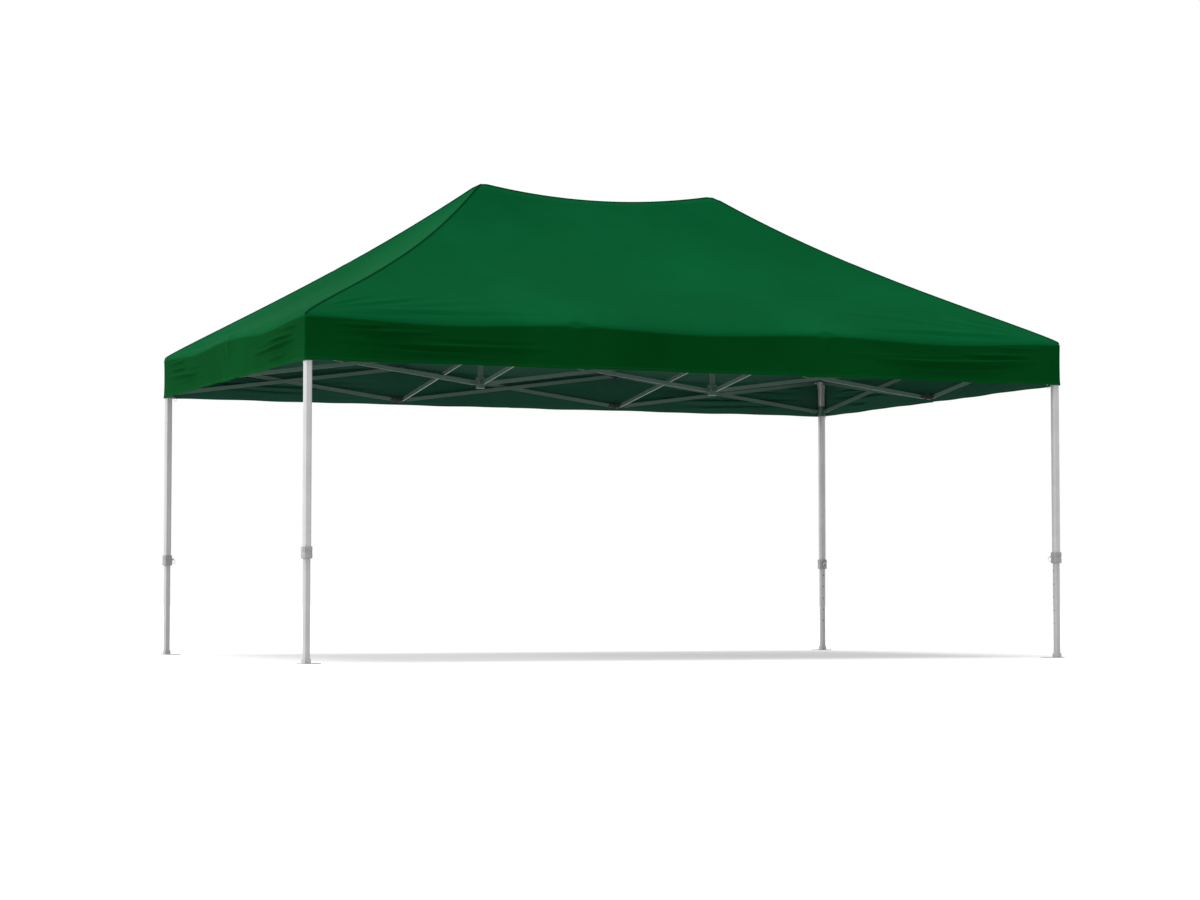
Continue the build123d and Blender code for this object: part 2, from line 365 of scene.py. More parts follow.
def plastic_material(name, base, rough=0.5):
    """Moulded nylon: fine spark texture with paler rubbed places."""
    n = Nodes(name)
    place = n.add("TexCoord").outputs["Object"]
    grain = n.noise(place, 700.0, 2.0)
    rub = n.noise(place, 22.0, 4.0)
    pale = tuple(min(1, c * 1.5 + 0.01) for c in base)
    colour = n.mix(n.ramp(rub, (0.5, (0,) * 3), (0.75, (0.6,) * 3)), base, pale)
    return n.finish(colour, n.bump(grain, 0.25, 0.0004),
                    n.ramp(rub, (0.3, (rough - 0.06,) * 3), (0.7, (rough + 0.1,) * 3)))


cloth_top = cloth_material("cloth_top", (0.0004, 0.0440, 0.0118), (0.0003, 0.0385, 0.0100),
                           (0.0006, 0.0500, 0.0142), 0.02)
# The valance is the roof's fabric made darker and less blue: painted shade on the upright band, on top of the shade
# that its lighting gives.
cloth_band_painted_shade = cloth_material("cloth_band_painted_shade", (0.0003, 0.0335, 0.0052), (0.0002, 0.0280, 0.0040),
                            (0.0004, 0.0385, 0.0066), 0.02, stitched=True)
# The undersides' pale grey-green is partly the coating's own tone and partly painted glow that stands in for light
# shining through the cloth.
band_under_painted_glow = cloth_material("band_under_painted_glow", (0.014, 0.062, 0.038), (0.012, 0.054, 0.033),
                            (0.017, 0.068, 0.043), 0.02)
cloth_under_painted_glow = cloth_material("cloth_under_painted_glow", (0.022, 0.068, 0.046), (0.018, 0.058, 0.039),
                             (0.028, 0.078, 0.054), 0.03)
seam_cloth = cloth_material("seam_cloth", (0.0003, 0.0200, 0.0060), (0.0002, 0.015, 0.0045),
                            (0.0005, 0.026, 0.0080), 0.05)
tube_metal = metal_material("tube_metal", (0.37, 0.37, 0.373), 0.15, 0.45)
inner_metal = metal_material("inner_metal", (0.34, 0.34, 0.343), 0.2, 0.42)
# Bars, masts and sliders are coloured dark green-grey, not pale anodised aluminium: painted shade and painted green
# bounce light from the canopy above them.
bar_metal = metal_material("bar_metal", (0.055, 0.105, 0.082), 0.15, 0.5, streak=(8.0, 8.0, 8.0))
mast_metal = metal_material("mast_metal", (0.045, 0.090, 0.070), 0.15, 0.5)
slider_metal = metal_material("slider_metal", (0.050, 0.100, 0.077), 0.1, 0.5)
black_plastic = plastic_material("black_plastic", (0.012, 0.016, 0.014))
# The hubs' green tint is painted green bounce light and painted shade from the canopy above them.
hub_painted_green_shade = plastic_material("hub_painted_green_shade", (0.020, 0.045, 0.034), 0.4)
grey_plastic = plastic_material("grey_plastic", (0.20, 0.20, 0.203), 0.45)
ring_steel = metal_material("ring_steel", (0.45, 0.45, 0.46), 0.9, 0.25, streak=(1, 1, 1))
# Near-black finish for the height holes: painted shade of the hollow inside the leg.
hole_painted_shade = plastic_material("hole_painted_shade", (0.006, 0.006, 0.006), 0.7)

NODE_MATERIALS = {"bar_": bar_metal, "outer_leg": tube_metal, "inner_leg": inner_metal,
                  "mast_inner": mast_metal, "slider": slider_metal, "connector": black_plastic,
                  "upper_hub": hub_painted_green_shade, "mast_cap": black_plastic, "canopy": cloth_top}
for name, node in frame["nodes"].items():
    chosen = next(made for start, made in NODE_MATERIALS.items() if name.startswith(start))
    node.data.materials.clear()
    node.data.materials.append(chosen)


# ---------------------------------------------------------------- the canopy's shape
def steps(*pairs):
    """Growing distances: each pair is (end, step)."""
    out = [0.0]
    for end, step in pairs:
        count = max(1, round((end - out[-1]) / step))
        out += list(np.linspace(out[-1], end, count + 1)[1:])
    return np.array(out)


BAYS_X = (-LEG_X, -PEAK_X, PEAK_X, LEG_X)
BAYS_Y = (-LEG_Y, 0.0, LEG_Y)
HIP_SAG = {("front", "left"): 0.115, ("front", "right"): 0.070,
           ("back", "left"): 0.055, ("back", "right"): 0.065}
HIP_MEAN = sum(HIP_SAG.values()) / 4
HIP_SCALE = 5.38           # makes the deepest point of (1 - v) * v ** 1.5 equal to 1
RIDGE_SAG, PANEL_SAG, END_SAG = 0.090, 0.040, 0.045
INWARD_LIMIT = 0.0085      # the frame lies this far and a little more inside the valance


def bay_share(p, bays):
    """0 at a frame node and 1 half-way between two, along one side."""
    q = np.clip(p, bays[0], bays[-1])
    k = np.clip(np.searchsorted(bays, q, side="right") - 1, 0, len(bays) - 2)
    low, high = np.array(bays)[k], np.array(bays)[k + 1]
    return np.sin(np.pi * (q - low) / (high - low)) ** 2


def node_bump(p, bays, width):
    """1 at each frame node inside the side, falling off over width."""
    out = np.zeros_like(p)
    for b in bays[1:-1]:
        out = out + np.exp(-((p - b) / width) ** 2)
    return out


def smooth(x):
    """Smooth step from 0 to 1."""
    x = np.clip(x, 0, 1)
    return x * x * (3 - 2 * x)


def crease(across, along, width, depth):
    """Valley with a ridge beside it, tapered along its length (along runs 0 to 1)."""
    t = across / width
    taper = np.sin(np.pi * np.clip(along, 0, 1)) ** 0.8
    return -depth * (0.55 * np.exp(-t * t) - 1.15 * np.exp(-(t - 1.6) ** 2)) * taper


random = np.random.default_rng(7)


def side_folds(length):
    """Creases that run along a side from one corner: start, end, height, slope, width, depth."""
    reach = min(1.0, length / 3.0)
    folds = [
        (0.20, 1.55 * reach + 0.2, 0.178, 0.012, 0.015, 0.0200),
        (0.24, 0.85, 0.120, -0.030, 0.011, 0.0125),
        (0.20, 0.62, 0.070, -0.050, 0.009, 0.0100),
        (0.40, 1.15 * reach + 0.2, 0.245, 0.020, 0.015, 0.0110),
        (0.24, 0.95, 0.150, 0.010, 0.010, 0.0070),
        (0.80, 1.90 * reach, 0.130, 0.022, 0.018, 0.0050),
    ]
    jitter = random.uniform(-1, 1, (len(folds), 4))
    return [(a + 0.05 * j[0], b + 0.15 * j[1], h + 0.014 * j[2], s, w, d * (1 + 0.25 * j[3]))
            for (a, b, h, s, w, d), j in zip(folds, jitter)]


def roof_folds():
    """Creases that fan out from a corner: share of the way to the hip, start, end, width, depth."""
    jitter = random.uniform(-1, 1, (4, 3))
    base = [(0.16, 0.22, 1.50, 0.022, 0.0065), (0.38, 0.20, 1.15, 0.020, 0.0075),
            (0.62, 0.18, 0.85, 0.018, 0.0060), (0.27, 0.60, 1.80, 0.030, 0.0050)]
    return [(s + 0.03 * j[0], a, b + 0.12 * j[1], w, d * (1 + 0.2 * j[2]))
            for (s, a, b, w, d), j in zip(base, jitter)]


FOLDS = {}
for side in SIDES:
    for end in ENDS:
        for run, half in (("x", HALF_X), ("y", HALF_Y)):
            FOLDS[side, end, run] = (side_folds(half), roof_folds(), random.uniform(0, 6.28, 8))


def low_waves(p, q, phase, size):
    """Slow unevenness of the cloth."""
    return size * (np.sin(3.1 * p + phase[0]) * np.sin(2.3 * q + phase[1])
                   + 0.6 * np.sin(7.0 * p + phase[2] + 1.5 * q) * np.sin(5.1 * q + phase[3])) / 1.6


def round_corner(x, y):
    """Pull plan points near a corner on to its rounding."""
    qx = CORNER_RADIUS - (HALF_X - np.abs(x))
    qy = CORNER_RADIUS - (HALF_Y - np.abs(y))
    inside = (qx > 0) & (qy > 0)
    size = np.hypot(qx, qy)
    scale = np.where(inside, np.maximum(qx, qy) / np.maximum(size, 1e-9), 1.0)
    x2 = np.sign(x) * (HALF_X - CORNER_RADIUS + qx * scale)
    y2 = np.sign(y) * (HALF_Y - CORNER_RADIUS + qy * scale)
    return np.where(inside, x2, x), np.where(inside, y2, y)


ROW_D = steps((0.004, 0.004), (0.010, 0.003), (0.03, 0.007), (0.10, 0.014), (0.30, 0.02),
              (0.80, 0.035), (HALF_Y, 0.05))
ROW_V = ROW_D / HALF_Y


def columns(half, fine):
    """Distances from a corner along a half side, as shares of its length."""
    d = steps((0.012, 0.004), (0.04, 0.007), (0.25, 0.016), (1.4, 0.022), (half, fine))
    return d / half


COL = {"x": columns(HALF_X, 0.035), "y": columns(HALF_Y, 0.030)}
ROW_H = steps((0.012, 0.004), (0.30, 0.0085), (DROP, 0.006))


def eave_shift(p, bays):
    """Inward shift and drop of the eave between two frame nodes."""
    share = bay_share(p, bays)
    return 0.004 * share, 0.030 * share


def roof_panel(side, end, run):
    """Half of one roof plane, as rows from eave to top and columns from the hip to the middle."""
    sy, sx = SIDES[side], ENDS[end]
    t = COL[run][None, :]
    v = ROW_V[:, None]
    d = ROW_D[:, None]
    bays = BAYS_X if run == "x" else BAYS_Y
    half = HALF_X if run == "x" else HALF_Y
    top = PEAK_X if run == "x" else 0.0
    reach = half - (half - top) * v                      # half length of the plane at this height
    p = reach * (1 - t)                                  # distance from the middle, along the side
    q = d if run == "x" else d * (HALF_X - PEAK_X) / HALF_Y
    d = q + 0 * p
    s = 1 - t + 0 * v
    sag_hip = HIP_MEAN + (HIP_SAG[side, end] - HIP_MEAN) * np.abs(s) ** 1.5
    hip = sag_hip * HIP_SCALE * (1 - v) * v ** 1.5       # deepest 0.4 of the way down from the peak
    if run == "x":
        middle = RIDGE_SAG * v ** 2 + PANEL_SAG * 4 * v * (1 - v)
    else:
        middle = END_SAG * 4 * v * (1 - v)
    z = EAVE_Z + RISE * v - hip - middle * (1 - s ** 2)
    signed = p * (sx if run == "x" else sy)
    inward, lower = eave_shift(signed, bays)
    z = z - lower * np.exp(-d / 0.11) - EDGE_DROP * np.exp(-(d / 0.010)) \
        - EDGE_SETTLE * np.exp(-d / 0.05)
    z = z + 0.014 * node_bump(signed, bays, 0.06) * np.exp(-(d / 0.10) ** 2) * smooth(d / 0.02)
    out = -inward * np.exp(-d / 0.12)
    folds, fan, phase = FOLDS[side, end, run]
    c = half - p                                         # from the corner, along the eave
    lift = np.zeros_like(p)
    for share, start, stop, width, depth in fan:
        angle = math.atan2(HALF_Y if run == "x" else HALF_X - PEAK_X, half - top) * share
        along = (c * math.cos(angle) + d * math.sin(angle) - start) / (stop - start)
        across = -c * math.sin(angle) + d * math.cos(angle)
        lift += crease(across, along, width, depth)
    for start, stop, height, slope, width, depth in folds[:3]:
        across = d - height * 0.35 - 0.04 * (c - start)
        lift += 0.6 * crease(across, (c - start) / (stop - start), width, depth)
    lift *= smooth((d - 0.004) / 0.05)
    still = smooth(d / 0.3) * smooth((reach - p) / 0.3) * smooth(p / 0.3) * smooth((1 - v) / 0.2)
    lift += low_waves(c, d, phase, 0.004) * still       # none at the edges, so that panels meet
    z = z + lift
    if run == "x":
        x, y = sx * p, sy * (HALF_Y - d + out)
    else:
        x, y = sx * (HALF_X - d + out), sy * p
    x, y = round_corner(x, y)
    peak = np.hypot(np.abs(x) - PEAK_X, y)
    z = z - 0.010 * np.exp(-(peak / 0.030) ** 2)
    uv = np.stack([c + 0 * d, 1.0 + d + 0 * c], -1)
    return np.stack([x + 0 * z, y + 0 * z, z], -1), uv


def valance_panel(side, end, run):
    """Half of one side's hanging band, as rows from the eave to the hem."""
    sy, sx = SIDES[side], ENDS[end]
    bays = BAYS_X if run == "x" else BAYS_Y
    half = HALF_X if run == "x" else HALF_Y
    p = (half * (1 - COL[run]))[None, :]
    h = ROW_H[:, None]
    signed = p * (sx if run == "x" else sy) + 0 * h
    inward, lower = eave_shift(signed, bays)
    folds, _, phase = FOLDS[side, end, run]
    c = half - p + 0 * h
    share = h / DROP
    top = EAVE_Z - EDGE_DROP - EDGE_SETTLE - lower
    hem = HEM_Z + 0.002 + 0.0018 * np.sin(5.0 * c + phase[4]) \
        + 0.0012 * np.sin(13.0 * c + phase[5])
    z = top + (hem - top) * share
    out = -inward * (1 - 0.6 * share) - 0.004 * np.sin(np.pi * share)
    lift = np.zeros_like(z)
    for start, stop, height, slope, width, depth in folds:
        lift += crease(height + slope * (c - start) - h, (c - start) / (stop - start), width, depth)
    wave = 0.0045 * np.sin(4.2 * c + phase[6]) + 0.0035 * np.sin(9.5 * c + phase[7])
    lift += wave * share ** 1.5 * smooth((c - 0.1) / 0.3) * smooth((half - c) / 0.3)
    lift *= smooth(h / 0.035) * smooth((c - 0.12) / 0.14)
    lift += 0.0015 * smooth((h - (DROP - 0.026)) / 0.003)
    for b in bays[1:-1]:
        bump = 0.013 * np.exp(-((signed - b) / 0.045) ** 2)
        lift += bump * np.exp(-(h / 0.10) ** 2) * smooth(h / 0.02)
    out = out + lift
    out = INWARD_LIMIT * np.tanh(np.minimum(out, 0) / INWARD_LIMIT) + np.maximum(out, 0)
    if run == "x":
        x, y = sx * p + 0 * out, sy * (HALF_Y + 0 * out)
    else:
        x, y = sx * (HALF_X + 0 * out), sy * p + 0 * out
    x, y = round_corner(x, y)
    if run == "x":
        y = y + sy * out
    else:
        x = x + sx * out
    return np.stack([x, y, z], -1), np.stack([c, h + 0 * c], -1)


class Patch:
    """A grid of points with uv, and which way round its faces go."""

    def __init__(self, points, uv, flip):
        self.points, self.uv, self.flip = points, uv, flip
        self.rows, self.cols = points.shape[:2]
        self.normals = None

    def faces(self, first=0):
        i, j = np.meshgrid(np.arange(self.rows - 1), np.arange(self.cols - 1), indexing="ij")
        a = first + i * self.cols + j
        quads = np.stack([a, a + 1, a + self.cols + 1, a + self.cols], -1).reshape(-1, 4)
        return quads[:, ::-1] if self.flip else quads


def shared_normals(patches):
    """Smooth normals that agree where two patches share points."""
    points = np.concatenate([p.points.reshape(-1, 3) for p in patches])
    places, index = np.unique(np.round(points, 6), axis=0, return_inverse=True)
    index = index.reshape(-1)
    total, first = np.zeros((len(places), 3)), 0
    for p in patches:
        f = p.faces(first)
        a, b, c, d = (points[f[:, k]] for k in range(4))
        area = np.cross(c - a, d - b)
        for k in range(4):
            np.add.at(total, index[f[:, k]], area)
        first += p.rows * p.cols
    total /= np.maximum(np.linalg.norm(total, axis=1, keepdims=True), 1e-12)
    first = 0
    for p in patches:
        count = p.rows * p.cols
        p.normals = total[index[first:first + count]].reshape(p.rows, p.cols, 3)
        first += count


roof_patches, valance_patches = {}, {}
for side in SIDES:
    for end in ENDS:
        for run in ("x", "y"):
            turned = (SIDES[side] * ENDS[end] > 0) == (run == "x")
            for store, make, flip in ((roof_patches, roof_panel, not turned),
                                      (valance_patches, valance_panel, turned)):
                store[side, end, run] = Patch(*make(side, end, run), flip)
shared_normals(list(roof_patches.values()) + list(valance_patches.values()))


def link(name, mesh):
    obj = bpy.data.objects.new(name, mesh)
    bpy.context.scene.collection.objects.link(obj)
    return obj


def cloth_piece(name, patches, outside, inside):
    """A thin closed sheet made from patches: outer face, inner face and a rim."""
    points = np.concatenate([p.points.reshape(-1, 3) for p in patches])
    normals = np.concatenate([p.normals.reshape(-1, 3) for p in patches])
    uv = np.concatenate([p.uv.reshape(-1, 2) for p in patches])
    first, faces = 0, []
    for p in patches:
        faces.append(p.faces(first))
        first += p.rows * p.cols
    faces = np.concatenate(faces)
    _, one, index = np.unique(np.round(points, 6), axis=0, return_index=True, return_inverse=True)
    index = index.reshape(-1)
    points, normals = points[one], normals[one]
    merged = index[faces]
    count = len(points)
    rings, corner_uv = [], []
    for f, original in zip(merged, faces):
        kept = [k for k in range(4) if f[k] != f[k - 1]]
        for k in range(2, len(kept)):               # triangles, so that both faces bend alike
            corners = (kept[0], kept[k - 1], kept[k])
            rings.append([int(f[c]) for c in corners])
            corner_uv.append([uv[original[c]] for c in corners])
    edges = {}
    for ring in rings:
        for a, b in zip(ring, ring[1:] + ring[:1]):
            edges[a, b] = edges.get((a, b), 0) + 1
    border = [(a, b) for a, b in edges if (b, a) not in edges]
    everything = list(map(tuple, points)) + list(map(tuple, points - normals * CLOTH))
    all_faces = rings + [[v + count for v in reversed(r)] for r in rings]
    all_uv = corner_uv + [list(reversed(u)) for u in corner_uv]
    all_faces += [[b, a, a + count, b + count] for a, b in border]
    all_uv += [[(0.0, 0.5)] * 4 for _ in border]
    mesh = bpy.data.meshes.new(name)
    mesh.from_pydata(everything, [], all_faces)
    layer = mesh.uv_layers.new(name="metres")
    layer.data.foreach_set("uv", np.array([c for face in all_uv for c in face], np.float32).ravel())
    mesh.materials.append(outside)
    mesh.materials.append(inside)
    which = [0] * len(rings) + [1] * len(rings) + [0] * len(border)
    mesh.polygons.foreach_set("material_index", which)
    mesh.polygons.foreach_set("use_smooth", [True] * len(all_faces))
    mesh.normals_split_custom_set_from_vertices(
        [tuple(n) for n in normals] + [tuple(-n) for n in normals])
    mesh.update()
    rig.slot(obj := link(name, mesh), "cloth")
    return obj


def tube_along(name, points, normals, wide, high, material):
    """A flattened piping along a line, closed at both ends."""
    count = 10
    rows = []
    for k, point in enumerate(points):
        ahead = points[min(k + 1, len(points) - 1)] - points[max(k - 1, 0)]
        ahead = ahead / np.linalg.norm(ahead)
        across = np.cross(ahead, normals[k])
        across /= np.linalg.norm(across)
        up = np.cross(across, ahead)
        ring = []
        for a in range(count):
            angle = 2 * math.pi * a / count
            ring.append(point + across * wide * math.cos(angle) + up * high * math.sin(angle))
        rows.append(ring)
    verts = [tuple(p) for ring in rows for p in ring]
    faces = []
    for k in range(len(rows) - 1):
        for a in range(count):
            b = (a + 1) % count
            faces.append([k * count + a, k * count + b, (k + 1) * count + b, (k + 1) * count + a])
    faces.append(list(range(count))[::-1])
    faces.append([(len(rows) - 1) * count + a for a in range(count)])
    mesh = bpy.data.meshes.new(name)
    mesh.from_pydata(verts, [], faces)
    mesh.materials.append(material)
    mesh.polygons.foreach_set("use_smooth", [True] * len(faces))
    mesh.update()
    return link(name, mesh)


roof_area = ((2 * PEAK_X + 2 * HALF_X) / 2 * math.hypot(HALF_Y, RISE)
             + HALF_Y * math.hypot(HALF_X - PEAK_X, RISE)) / 2
LAYER = 0.001
SEAM_START = 2             # the hip seam leaves out the rounded rows beside the eave
for side in SIDES:
    for end in ENDS:
        corner = f"{side}_{end}"
        body = f"outer_leg_{corner}"
        sx, sy = ENDS[end], SIDES[side]
        roof = cloth_piece(f"roof_{corner}", [roof_patches[side, end, r] for r in "xy"],
                           cloth_top, cloth_under_painted_glow)
        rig.ride(roof, body)
        lay = LAYER * (1 + 2 * (sx > 0) + (sy > 0))         # each quarter folds to its own height
        flat_z = EAVE_Z + lay
        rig.replaces(roof, "canopy_roof")
        hip = roof_patches[side, end, "x"]
        line = hip.points[SEAM_START:, 0] + hip.normals[SEAM_START:, 0] * 0.0010
        piping = tube_along(f"hip_seam_{corner}", line, hip.normals[SEAM_START:, 0],
                            0.0075, 0.0030, seam_cloth)
        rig.slot(piping, "cloth")
        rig.ride(piping, body)
        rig.squash(piping, "frame_fold", axis=(0, 0, 1), anchor=(0, 0, flat_z), keep=KEEP_Z)
        going = [piping]
        if side == "front":
            ridge = hip.points[-1] + hip.normals[-1] * 0.0008
            cap = tube_along(f"ridge_seam_{end}", ridge, hip.normals[-1],
                             0.006, 0.0022, seam_cloth)
            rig.slot(cap, "cloth")
            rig.ride(cap, body)
            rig.squash(cap, "frame_fold", axis=(0, 0, 1), anchor=(0, 0, flat_z), keep=KEEP_Z)
            going.append(cap)
        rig.sheet(roof, flat=(HALF_X, math.hypot(HALF_Y, RISE) + math.hypot(HALF_X - PEAK_X, RISE)),
                 area=roof_area, held="stretched",
                 rests_on=["mast_cap_inner_" + end, body, f"connector_{side}_inner_{end}"],
                 with_pieces=going)
        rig.squash(roof, "frame_fold", axis=(0, 0, 1), anchor=(0, 0, flat_z), keep=KEEP_Z)
        for run, half, keep in (("x", HALF_X, KEEP_X), ("y", HALF_Y, KEEP_Y)):
            name = f"valance_{corner}_{'long' if run == 'x' else 'short'}"
            band = cloth_piece(name, [valance_patches[side, end, run]], cloth_band_painted_shade, band_under_painted_glow)
            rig.ride(band, body)
            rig.replaces(band, "canopy_valance")
            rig.sheet(band, flat=(half, DROP), held="hung", rests_on=[f"roof_{corner}"])
            axis = (1, 0, 0) if run == "x" else (0, 1, 0)
            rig.squash(band, "frame_fold", axis=axis, anchor=(sx * HALF_X, sy * HALF_Y, EAVE_Z),
                      keep=keep)


# ---------------------------------------------------------------- hardware
def bevelled_box(bm, centre, size, bevel):
    """A box with rounded edges."""
    made = bmesh.ops.create_cube(bm, size=1.0)["verts"]
    bmesh.ops.scale(bm, vec=Vector(size), verts=made)
    bmesh.ops.translate(bm, vec=Vector(centre), verts=made)
    edges = list({e for v in made for e in v.link_edges})
    bmesh.ops.bevel(bm, geom=edges, offset=bevel, segments=3, profile=0.7, affect="EDGES")


def turned(bm, centre, direction, radius, height, bevel=0.001):
    """A disc or pin whose axis is direction and whose base is at centre."""
    made = bmesh.ops.create_cone(bm, cap_ends=True, segments=28, radius1=radius,
                                 radius2=max(radius - bevel, 0.0005), depth=height)["verts"]
    spin = Vector(direction).to_track_quat("Z", "Y").to_matrix().to_4x4()
    middle = Matrix.Translation(Vector(centre) + Vector(direction) * height / 2)
    bmesh.ops.transform(bm, matrix=middle @ spin, verts=made)


def wire_ring(bm, centre, normal, radius, wire):
    """A wire ring round centre."""
    around, section = 40, 10
    normal = Vector(normal).normalized()
    side_way = normal.cross(Vector((0.3, 0.2, 1))).normalized()
    other = normal.cross(side_way)
    rings = []
    for k in range(around):
        a = 2 * math.pi * k / around
        out = side_way * math.cos(a) + other * math.sin(a)
        middle = Vector(centre) + out * radius
        rings.append([bm.verts.new(middle + (out * math.cos(b) + normal * math.sin(b)) * wire)
                      for b in (2 * math.pi * m / section for m in range(section))])
    for k in range(around):
        for m in range(section):
            bm.faces.new([rings[k][m], rings[(k + 1) % around][m],
                          rings[(k + 1) % around][(m + 1) % section], rings[k][(m + 1) % section]])


def hardware(name, bm, material, body, slot, angle=35):
    """Turn a bmesh into a piece that rides one body. Edges sharper than angle stay sharp."""
    bmesh.ops.recalc_face_normals(bm, faces=bm.faces)
    mesh = bpy.data.meshes.new(name)
    bm.to_mesh(mesh)
    bm.free()
    mesh.materials.append(material)
    mesh.shade_smooth()
    mesh.set_sharp_from_angle(angle=math.radians(angle))
    obj = link(name, mesh)
    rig.slot(obj, slot)
    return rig.ride(obj, body)


ARM_X = (2 * LEG_X / 3 - BAR_SPAN) / 2
ARM_Y = (LEG_Y - BAR_SPAN) / 2


def lower_connector(name, x, y, along_x, along_y, body):
    """Moulded block with a tongue and a rivet for each bar that ends at it."""
    bm = bmesh.new()
    bevelled_box(bm, (x, y, LOWER_Z), (0.036, 0.036, 0.044), 0.006)
    for along, way in [("x", w) for w in along_x] + [("y", w) for w in along_y]:
        row = Vector((way, 0, 0)) if along == "x" else Vector((0, way, 0))
        side_way = Vector((0, 1, 0)) if along == "x" else Vector((1, 0, 0))
        out = side_way * -way
        reach = (ARM_X if along == "x" else ARM_Y) + 0.013
        size = [0.006, 0.006, 0.028]
        size[0 if along == "x" else 1] = reach - 0.015
        bevelled_box(bm, Vector((x, y, LOWER_Z)) + row * (reach + 0.015) / 2, size, 0.0015)
        pivot = Vector((x, y, LOWER_Z)) + row * (reach - 0.013)
        turned(bm, pivot - out * 0.003, out, 0.004, 0.0205)
        turned(bm, pivot + out * 0.0171, out, 0.008, 0.003)
    return hardware(name, bm, black_plastic, body, "joint_plastic")


# Each one rides one of the bars that end at it
for place, x, y, along_x, along_y, bar in (
        ("front_inner_left", -PEAK_X, -LEG_Y, (-1, 1), (1,), "front_row_bay2_rising"),
        ("front_inner_right", PEAK_X, -LEG_Y, (-1, 1), (1,), "front_row_bay2_falling"),
        ("back_inner_left", -PEAK_X, LEG_Y, (-1, 1), (-1,), "back_row_bay2_rising"),
        ("back_inner_right", PEAK_X, LEG_Y, (-1, 1), (-1,), "back_row_bay2_falling"),
        ("middle_left", -LEG_X, 0, (1,), (-1, 1), "middle_row_bay1_rising"),
        ("middle_right", LEG_X, 0, (-1,), (-1, 1), "middle_row_bay3_falling")):
    lower_connector(f"lower_connector_{place}", x, y, along_x, along_y, f"bar_{bar}")

UP = Vector((0, 0, 1))
OUTER_FACE, INNER_FACE, BOOT_FACE = 0.0265, 0.0226, 0.0285      # from a leg's axis to its sides
HOLE_HEIGHTS = (0.66, 0.56, 0.46, 0.36, 0.26)
BOOT_BOLT_Z, BUTTON_Z = 0.020, 2.052

for side in SIDES:
    for end in ENDS:
        corner = f"{side}_{end}"
        sx, sy = ENDS[end], SIDES[side]
        x, y = sx * LEG_X, sy * LEG_Y
        latch = Vector((0, -sy, 0)) if sx == sy else Vector((-sx, 0, 0))
        across = UP.cross(latch)
        for which, z, body in (("slider", LOWER_Z - 0.032, f"slider_{corner}"),
                               ("collar", COLLAR_Z + 0.008, f"outer_leg_{corner}")):
            bm = bmesh.new()
            tip = Vector((x, y, z)) + latch * 0.050
            wire_ring(bm, tip + Vector((0, 0, -0.017)) + latch * 0.004,
                      latch + across * 0.35 + Vector((0, 0, 0.25)), 0.0185, 0.0016)
            hardware(f"pull_ring_{which}_{corner}", bm, ring_steel, body, "tube_metal")
        # Thin black discs on the inner tube, not cut holes: painted shade where each hole shows the dark inside of the
        # leg.
        bm = bmesh.new()
        for z in HOLE_HEIGHTS:
            turned(bm, Vector((x, y, z)) + latch * INNER_FACE, latch, 0.0052, 0.0008, 0.0002)
        hardware(f"height_holes_{corner}", bm, hole_painted_shade, f"inner_leg_{corner}", "tube_metal")
        bm = bmesh.new()
        boot = Vector((x, y, BOOT_BOLT_Z))
        for way in (latch, -latch):
            turned(bm, boot + way * BOOT_FACE, way, 0.006, 0.003)
        hardware(f"foot_bolt_{corner}", bm, ring_steel, f"inner_leg_{corner}", "tube_metal")
        bm = bmesh.new()
        outward = Vector((0, sy, 0))
        turned(bm, Vector((x, y, BUTTON_Z)) + outward * OUTER_FACE, outward, 0.008, 0.0035)
        above_collar = Vector((x, y, COLLAR_Z + 0.075))
        turned(bm, above_collar + latch * OUTER_FACE, latch, 0.005, 0.002)
        hardware(f"leg_button_{corner}", bm, ring_steel, f"outer_leg_{corner}", "tube_metal")

# A collar's moulded jacket, over the metal one: an octagon carried along an upright profile
JACKET_HALF, JACKET_CUT = 0.0345, 0.0130
JACKET_NEAR = JACKET_HALF - JACKET_CUT
OUTLINE = [(JACKET_HALF, -JACKET_NEAR), (JACKET_HALF, JACKET_NEAR),
           (JACKET_NEAR, JACKET_HALF), (-JACKET_NEAR, JACKET_HALF),
           (-JACKET_HALF, JACKET_NEAR), (-JACKET_HALF, -JACKET_NEAR),
           (-JACKET_NEAR, -JACKET_HALF), (JACKET_NEAR, -JACKET_HALF)]
PROFILE = [(0.79, -0.041), (0.95, -0.041), (1.0, -0.038), (1.0, -0.010), (0.975, -0.008),
           (0.975, 0.012), (1.0, 0.014), (1.0, 0.037), (0.95, 0.041), (0.79, 0.041)]
for side in SIDES:
    for end in ENDS:
        corner = f"{side}_{end}"
        x, y = ENDS[end] * LEG_X, SIDES[side] * LEG_Y
        bm = bmesh.new()
        rings = []
        for scale, dz in PROFILE:
            rings.append([bm.verts.new((x + px * scale, y + py * scale, COLLAR_Z + dz))
                          for px, py in OUTLINE])
        for a, b in zip(rings, rings[1:] + rings[:1]):
            for k in range(8):
                bm.faces.new([a[k], a[(k + 1) % 8], b[(k + 1) % 8], b[k]])
        hardware(f"collar_jacket_{corner}", bm, grey_plastic, f"outer_leg_{corner}",
                 "joint_plastic", 25)

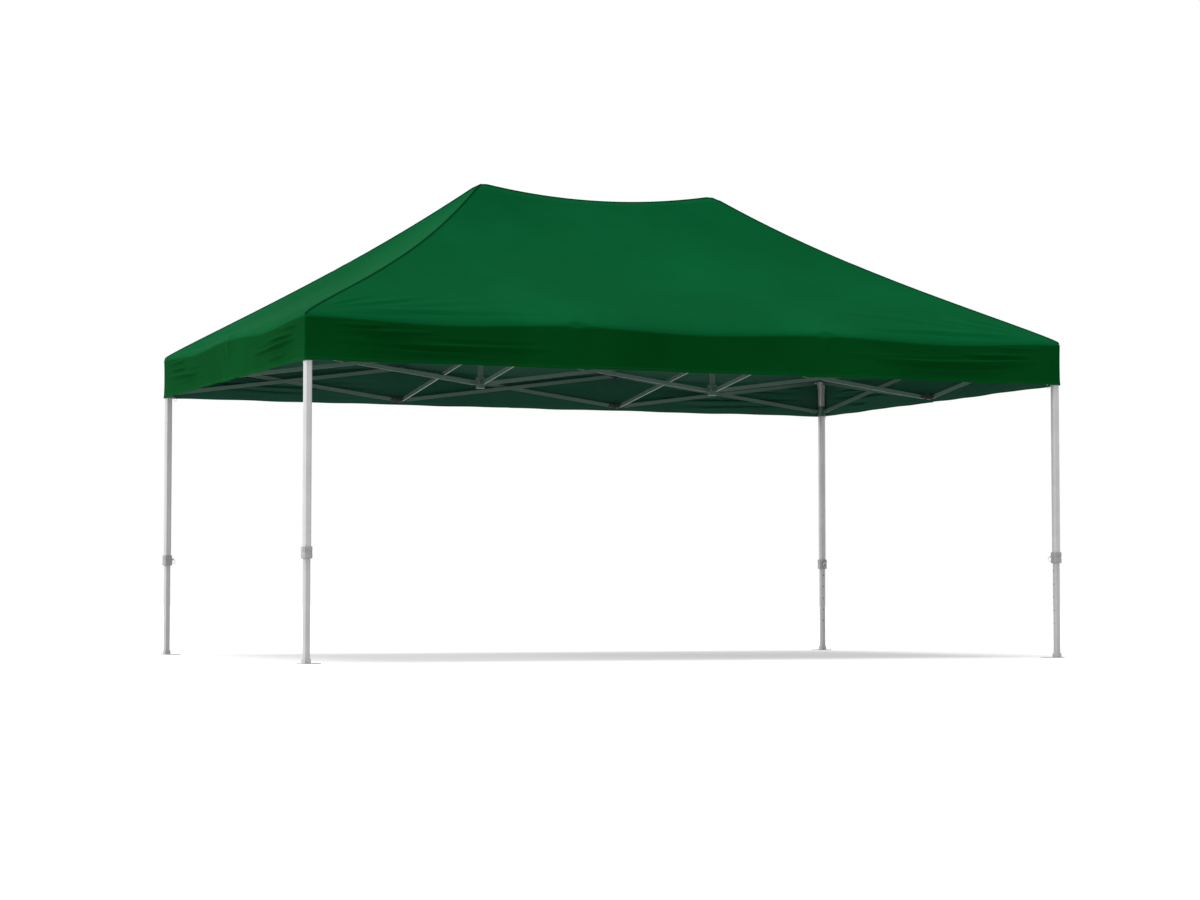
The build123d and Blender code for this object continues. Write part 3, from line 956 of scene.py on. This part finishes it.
# ---------------------------------------------------------------- stage
floor_nodes = Nodes("floor")
emit = floor_nodes.add("Emission", Strength=0.34)       # keeps the floor white past the shadow
emit.inputs["Color"].default_value = (1, 1, 1, 1)
floor_nodes.set(Roughness=0.9, Specular_IOR_Level=0.0, Base_Color=(0.42, 0.42, 0.42, 1))
total = floor_nodes.add("AddShader")
floor_nodes.join(floor_nodes.shader.outputs[0], total.inputs[0])
floor_nodes.join(emit.outputs[0], total.inputs[1])
floor_nodes.join(total.outputs[0], floor_nodes.out.inputs["Surface"])
floor_mesh = bpy.data.meshes.new("floor")
FAR, FLOOR_Z = 400.0, -0.0005
FLOOR_CORNERS = ((-1, -1), (1, -1), (1, 1), (-1, 1))
floor_mesh.from_pydata([(x * FAR, y * FAR, FLOOR_Z) for x, y in FLOOR_CORNERS], [], [[0, 1, 2, 3]])
floor_mesh.materials.append(floor_nodes.material)
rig.stage(link("floor", floor_mesh))

world = bpy.data.worlds.new("studio")
world.use_nodes = True
background = world.node_tree.nodes["Background"]
background.inputs[0].default_value = (1, 1, 1, 1)
background.inputs[1].default_value = 1.0
bpy.context.scene.world = world

LIGHTS = (("key", (-0.12, -0.04, 0.99), 3.3), ("side", (-0.90, 0.10, 0.42), 3.0))
SUN_ANGLE = math.radians(40)
for name, way, energy in LIGHTS:
    light = bpy.data.lights.new(name, "SUN")
    light.energy = energy
    light.angle = SUN_ANGLE
    lamp = link(name, light)
    lamp.rotation_mode = "QUATERNION"
    lamp.rotation_quaternion = Vector(way).to_track_quat("Z", "Y")

view = bpy.context.scene.view_settings
view.view_transform = "Standard"
view.look = "None"

# ---------------------------------------------------------------- camera
AZIMUTH, ELEVATION = math.radians(22.456), math.radians(3.069)      # from +Y towards +X, and up
camera_data = bpy.data.cameras.new("camera")
camera_data.sensor_width = 36.0
camera_data.lens = 85.82
camera_data.clip_end = 2000.0
camera = bpy.data.objects.new("camera", camera_data)
bpy.context.scene.collection.objects.link(camera)
camera.location = (-8.581, -20.798, 0.4126)
ahead = Vector((math.sin(AZIMUTH) * math.cos(ELEVATION), math.cos(AZIMUTH) * math.cos(ELEVATION),
                math.sin(ELEVATION)))
camera.rotation_mode = "QUATERNION"
camera.rotation_quaternion = ahead.to_track_quat("-Z", "Y")
bpy.context.scene.camera = camera

low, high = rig.bounds()
with open("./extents.json", "w") as f:
    json.dump({"cad": [list(cad_low), list(cad_high)], "visual": [list(low), list(high)]}, f)
